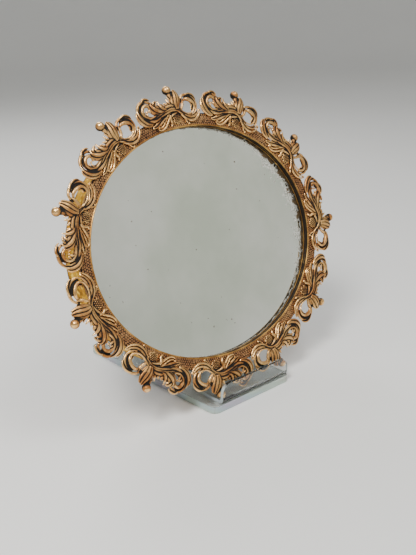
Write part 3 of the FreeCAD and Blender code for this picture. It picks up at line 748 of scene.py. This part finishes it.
# ------------------------------------------------------------ mirror glass
PLATE_STATIONS = 720
PLATE_REACH = 3.4
PLATE_BEVEL = 0.8
PLATE_FACE = -GLASS_RECESS - 0.02
PLATE_BACK = -GLASS_RECESS - 2.9
WORN_REACH = 16.0           # width of the finely ringed margin, where silvering is lost
WORN_RINGS = 33
INNER_RINGS = 9
INNER_SPAN = 80.0           # how much further from the edge the inner rings are marked
CENTRE_DEPTH = 90.0
LOSS_PLACE = 0.22           # where the loss is worst, in turns clockwise from the top
LOSS_SPREAD = 0.12
LOSS_WORST = 17.0


def mirror_plate():
    """Silvered plate: front grid of rings, a ground edge and a flat back."""
    shape = Shape()
    arcs = stations_at(PLATE_STATIONS)
    middle = CENTRE + PLATE_FACE * MM * OUT
    rear = CENTRE + PLATE_BACK * MM * OUT
    reach = np.concatenate([[PLATE_REACH, PLATE_REACH, PLATE_REACH - PLATE_BEVEL],
                            np.linspace(0.0, -WORN_REACH, WORN_RINGS)])
    level = np.full(len(reach), PLATE_FACE)
    level[0] = PLATE_BACK
    level[1] = -GLASS_RECESS - PLATE_BEVEL
    points = on_oval(arcs[:, None], reach[None, :], level[None, :])
    shares = np.linspace(0.9, 0.1, INNER_RINGS)
    inner = middle + (points[:, -1:] - middle) * shares[None, :, None]
    points = np.concatenate([points, inner], 1)
    reach = np.concatenate([reach, -WORN_REACH - INNER_SPAN * (1.0 - shares)])
    columns = len(reach)
    faces = grid_faces(PLATE_STATIONS, columns, True, False)
    centre_index = PLATE_STATIONS * columns
    for i in range(PLATE_STATIONS):
        i2 = (i + 1) % PLATE_STATIONS
        faces.append((i * columns + columns - 1, centre_index, i2 * columns + columns - 1))
        faces.append((i * columns, i2 * columns, centre_index + 1))
    shape.add(np.concatenate([points.reshape(-1, 3), [middle], [rear]]), faces)
    piece = shape.build("silvered_plate")
    depth = all_round(-reach, PLATE_STATIONS).ravel()
    write_layer(piece.data, "from_edge", np.concatenate([depth, [CENTRE_DEPTH, CENTRE_DEPTH]]))
    turn = arcs / PERIMETER
    loss = 1.0 + LOSS_WORST * np.exp(-((turn - LOSS_PLACE) / LOSS_SPREAD) ** 2)
    write_layer(piece.data, "loss", np.concatenate([np.repeat(loss, columns), [0.0, 0.0]]))
    return piece


def silver():
    """Old silvering: lost and frayed at the edge, spotted and faintly hazed inside."""
    paint = Paint("silvered_glass")
    edge = paint.attribute("from_edge")
    ragged = paint.noise(scale=130.0, detail=6.0, rough=0.66)
    limit = paint.combine("SUBTRACT", ragged, 0.36)
    limit = paint.combine("MULTIPLY", limit, 2.6)
    limit = paint.combine("MULTIPLY", limit, paint.attribute("loss"))
    lost = paint.combine("GREATER_THAN", paint.scaled(limit, factor=0.62), edge)
    spots = paint.combine("GREATER_THAN", paint.noise(scale=260.0, detail=2.0, rough=0.5), 0.76)
    lost = paint.combine("MAXIMUM", lost, spots)
    frayed = paint.combine("GREATER_THAN", paint.scaled(limit, factor=1.5, offset=0.2), edge)
    haze = paint.noise(scale=9.0, detail=4.0, rough=0.6)
    clean = paint.blend(paint.ramp(haze, [(0.34, 0.0), (0.66, 1.0)]),
                        srgb(216, 224, 206), srgb(246, 248, 238))
    flakes = paint.ramp(paint.noise(scale=700.0, detail=3.0, rough=0.6),
                        [(0.40, srgb(168, 168, 156)), (0.60, srgb(240, 240, 230))])
    clean = paint.blend(frayed, clean, flakes)
    tarnish = paint.ramp(ragged, [(0.45, srgb(34, 27, 18)), (0.62, srgb(96, 78, 52))])
    paint.set(Base_Color=paint.blend(lost, clean, tarnish))
    dulled = paint.combine("MAXIMUM", paint.scaled(lost, factor=0.8),
                           paint.scaled(frayed, factor=0.5))
    paint.set(Metallic=paint.scaled(dulled, factor=-1.0, offset=1.0))
    rough = paint.combine("ADD", paint.scaled(haze, factor=0.06, offset=0.01),
                          paint.scaled(frayed, factor=0.22))
    paint.set(Roughness=paint.combine("ADD", rough, paint.scaled(lost, factor=0.20)))
    paint.set(Coat_Weight=0.4)
    paint.set(Coat_Roughness=0.02)
    return paint.material


plate = mirror_plate()
plate.data.shade_flat()
dress(plate, silver(), "mirror", "mirror_glass")

# ------------------------------------------------------------ stand and back pieces
WELD_DISTANCE = 0.00001
CREASE_ANGLE = math.radians(38)


def finish_node(node, material, width=0.0, segments=2, shrink=0.0):
    """New finish and soft edges for a CAD solid; shrink leaves a hair of air at its faces."""
    piece = frame["nodes"][node]
    for slot in piece.material_slots:
        slot.material = material
    if width:
        weld = piece.modifiers.new("weld", "WELD")
        weld.merge_threshold = WELD_DISTANCE
        edge = piece.modifiers.new("soft_edge", "BEVEL")
        edge.width = width * MM
        edge.segments = segments
        edge.limit_method = "ANGLE"
        edge.angle_limit = CREASE_ANGLE
        edge.harden_normals = True
    if shrink:
        air = piece.modifiers.new("air_gap", "DISPLACE")
        air.strength = -shrink * MM
        air.mid_level = 0.0


def acrylic(name, body, cut, shimmer, flat_edges):
    """Clear sheet: faint scuffs, and cut edges that are less clear, with painted shade and a
    painted rainbow sheen.
    """
    paint = Paint(name)
    normal = paint.tree.nodes.new("ShaderNodeTexCoord").outputs["Normal"]
    split = paint.tree.nodes.new("ShaderNodeSeparateXYZ")
    paint.link(normal, split.inputs["Vector"])
    side = paint.combine("ABSOLUTE", split.outputs["X"], 0.0)
    if flat_edges:
        side = paint.combine("MAXIMUM", side, paint.combine("ABSOLUTE", split.outputs["Y"], 0.0))
    edge = paint.ramp(side, [(0.35, 0.0), (0.8, 1.0)])
    # Painted sheen: rainbow tints on the cut edges; the plain cut colour is painted shade.
    bands = paint.noise(scale=26.0, detail=1.5, rough=0.4, stretch=(1.0, 1.0, 2.5))
    tints = paint.ramp(bands, [(0.30, srgb(214, 196, 226)), (0.44, srgb(190, 220, 232)),
                               (0.56, srgb(200, 230, 206)), (0.70, srgb(236, 226, 196))])
    cut_tone = paint.blend(shimmer, cut, tints)
    cloud = paint.noise(scale=18.0)
    clear = paint.blend(cloud, body, tuple(min(1.0, level * 1.02) for level in body))
    paint.set(Base_Color=paint.blend(edge, clear, cut_tone))
    scuffs = paint.noise(scale=420.0, detail=2.0, rough=0.6, stretch=(1.0, 0.12, 1.0))
    paint.set(Roughness=paint.combine("ADD", paint.ramp(scuffs, [(0.60, 0.015), (0.80, 0.10)]),
                                      paint.scaled(edge, factor=0.10)))
    paint.set(Transmission_Weight=paint.scaled(edge, factor=-0.62, offset=1.0), IOR=1.49)
    paint.bump(scuffs, 0.00001)
    return paint.material


# The cut colours are painted shade on the sheet edges; shimmer is the share of painted rainbow
# sheen there.
clear_base = acrylic("clear_base", body=srgb(246, 250, 249), cut=srgb(222, 232, 232),
                     shimmer=0.55, flat_edges=True)
clear_sheet = acrylic("clear_sheet", body=srgb(246, 250, 250), cut=srgb(226, 234, 234),
                      shimmer=0.35, flat_edges=False)
finish_node("base_plate", clear_base, width=0.5, segments=3)
finish_node("cradle_sheet", clear_sheet, width=0.4, segments=3, shrink=0.03)
finish_node("rear_prop", clear_sheet, width=0.4, segments=3, shrink=0.06)


def timber():
    """Open-grained wood, unevenly stained."""
    paint = Paint("core_wood")
    grain = paint.noise(scale=190.0, detail=6.0, rough=0.6, stretch=(0.10, 1.0, 1.0))
    pores = paint.noise(scale=900.0, detail=2.0, rough=0.5, stretch=(0.05, 1.0, 1.0))
    tone = paint.ramp(grain, [(0.30, srgb(128, 92, 56)), (0.50, srgb(172, 132, 86)),
                              (0.72, srgb(198, 160, 110))])
    stain = paint.ramp(paint.noise(scale=14.0, detail=4.0),
                       [(0.40, srgb(150, 120, 90)), (0.60, srgb(255, 250, 244))])
    tone = paint.blend(0.7, tone, stain, "MULTIPLY")
    paint.set(Base_Color=tone, Roughness=paint.ramp(pores, [(0.3, 0.55), (0.7, 0.85)]))
    paint.bump(grain, 0.0002)
    paint.bump(pores, 0.0001)
    return paint.material


def board(name, light, deep, fibre, depth):
    """Pressed card: short fibres, faint mottling and darker handled patches."""
    paint = Paint(name)
    fibres = paint.noise(scale=fibre, detail=5.0, rough=0.7, stretch=(1.0, 0.35, 0.6))
    mottle = paint.noise(scale=40.0, detail=4.0)
    tone = paint.ramp(fibres, [(0.30, deep), (0.70, light)])
    handled = paint.ramp(mottle, [(0.35, srgb(176, 166, 156)), (0.65, srgb(255, 255, 255))])
    paint.set(Base_Color=paint.blend(0.8, tone, handled, "MULTIPLY"))
    paint.set(Roughness=paint.ramp(mottle, [(0.3, 0.60), (0.7, 0.82)]))
    paint.bump(fibres, depth)
    return paint.material


def turned_metal(name, bright, dull, rough, stretch):
    """Plain metal with brushing, tarnish and small scratches."""
    paint = Paint(name)
    brush = paint.noise(scale=700.0, detail=3.0, rough=0.6, stretch=stretch)
    tarnish = paint.noise(scale=120.0, detail=4.0, rough=0.6)
    tone = paint.blend(paint.ramp(tarnish, [(0.38, 0.0), (0.64, 1.0)]), bright, dull)
    scratches = paint.ramp(brush, [(0.55, 0.0), (0.75, 0.5)])
    paint.set(Base_Color=paint.blend(scratches, tone, bright))
    paint.set(Metallic=1.0)
    paint.set(Roughness=paint.ramp(tarnish, [(0.35, rough), (0.70, rough + 0.28)]))
    paint.bump(brush, 0.00004)
    return paint.material


cover_card = board("cover_card", light=srgb(116, 82, 56), deep=srgb(70, 46, 30),
                   fibre=620.0, depth=0.00012)
backing_card = board("backing_card", light=srgb(150, 122, 88), deep=srgb(104, 80, 54),
                     fibre=480.0, depth=0.0001)
pad_paper = board("pad_paper", light=srgb(176, 160, 134), deep=srgb(140, 122, 98),
                  fibre=900.0, depth=0.00005)
screw_steel = turned_metal("screw_steel", bright=srgb(204, 202, 194), dull=srgb(128, 122, 110),
                           rough=0.26, stretch=(1.0, 1.0, 6.0))
button_brass = turned_metal("button_brass", bright=srgb(214, 176, 102), dull=srgb(136, 100, 50),
                            rough=0.24, stretch=(0.3, 1.0, 1.0))
finish_node("core_ring", timber(), width=0.4)
finish_node("back_cover", cover_card, width=0.3)
finish_node("backing_board", backing_card)
finish_node("glass_pad", pad_paper)
finish_node("button_screws", screw_steel, width=0.15)
for number in range(1, 5):
    finish_node("turn_button_%d" % number, button_brass, width=0.25)

# ------------------------------------------------------------ stage, light, camera
FLOOR_INNER = 0.3
FLOOR_RADIUS = 2.4
FLOOR_RINGS = 8
FLOOR_DROP = 0.0003
COVE_RADIUS = 1.2
COVE_RINGS = 17
WALL_HEIGHT = 3.4
SPOKES = 96
cove_turn = np.linspace(0.0, np.pi / 2, COVE_RINGS)
cove_out = np.concatenate([np.linspace(FLOOR_INNER, FLOOR_RADIUS, FLOOR_RINGS)[:-1],
                           FLOOR_RADIUS + COVE_RADIUS * np.sin(cove_turn),
                           [FLOOR_RADIUS + COVE_RADIUS]])
cove_up = np.concatenate([np.zeros(FLOOR_RINGS - 1), COVE_RADIUS * (1.0 - np.cos(cove_turn)),
                          [WALL_HEIGHT]])
spokes = np.arange(SPOKES) * 2 * np.pi / SPOKES
cove_points = np.stack([np.outer(np.cos(spokes), cove_out), np.outer(np.sin(spokes), cove_out),
                        np.outer(np.ones(SPOKES), cove_up)], -1)
cove_faces = grid_faces(SPOKES, len(cove_out), True, False)
cove_faces.append(tuple(i * len(cove_out) for i in range(SPOKES)))
cove = Shape()
cove.add(cove_points, cove_faces)
floor = cove.build("floor_cove")
floor.data.shade_smooth()
floor.location.z = -FLOOR_DROP
floor_paint = Paint("pale_floor")
floor_tone = floor_paint.blend(floor_paint.noise(scale=3.0),
                               srgb(226, 226, 224), srgb(232, 232, 230))
floor_paint.set(Base_Color=floor_tone, Roughness=0.6)
floor.data.materials.append(floor_paint.material)

world = bpy.data.worlds.new("studio")
world.use_nodes = True
world.node_tree.nodes["Background"].inputs["Color"].default_value = (0.80, 0.81, 0.80, 1.0)
world.node_tree.nodes["Background"].inputs["Strength"].default_value = 0.46
bpy.context.scene.world = world


def softbox(name, place, target, size, power, tint=(1.0, 1.0, 1.0)):
    lamp = bpy.data.lights.new(name, "AREA")
    lamp.shape = "DISK"
    lamp.size = size
    lamp.energy = power
    lamp.color = tint
    holder = bpy.data.objects.new(name, lamp)
    holder.location = place
    aim = Vector(target) - Vector(place)
    holder.rotation_euler = aim.to_track_quat("-Z", "Y").to_euler()
    bpy.context.collection.objects.link(holder)


softbox("key", (-0.9, -0.5, 1.3), (0, -0.03, 0.13), size=0.5, power=26.0, tint=(1.0, 0.98, 0.95))
softbox("fill", (0.25, -0.7, 1.5), (0, -0.03, 0.13), size=0.7, power=9.0)
softbox("rim", (0.3, 1.0, 1.0), (0, 0, 0.13), size=0.8, power=8.0)
softbox("backdrop", (1.6, -1.9, 1.2), (2.7, -3.1, 0.7), size=1.2, power=6.0)

# The camera: its place, and which way its right and top point.
EYE = Vector((-0.4813, -0.5631, 0.3601))
RIGHT = Vector((0.73603, -0.67673, -0.01693))
ABOVE = Vector((0.24522, 0.24322, 0.93846))
LENS = 55.92
camera_data = bpy.data.cameras.new("camera")
camera_data.lens = LENS
camera_data.clip_start = 0.01
camera = bpy.data.objects.new("camera", camera_data)
bpy.context.collection.objects.link(camera)
behind = RIGHT.cross(ABOVE)
camera.matrix_world = Matrix((
    (RIGHT.x, ABOVE.x, behind.x, EYE.x),
    (RIGHT.y, ABOVE.y, behind.y, EYE.y),
    (RIGHT.z, ABOVE.z, behind.z, EYE.z),
    (0, 0, 0, 1)))
bpy.context.scene.camera = camera
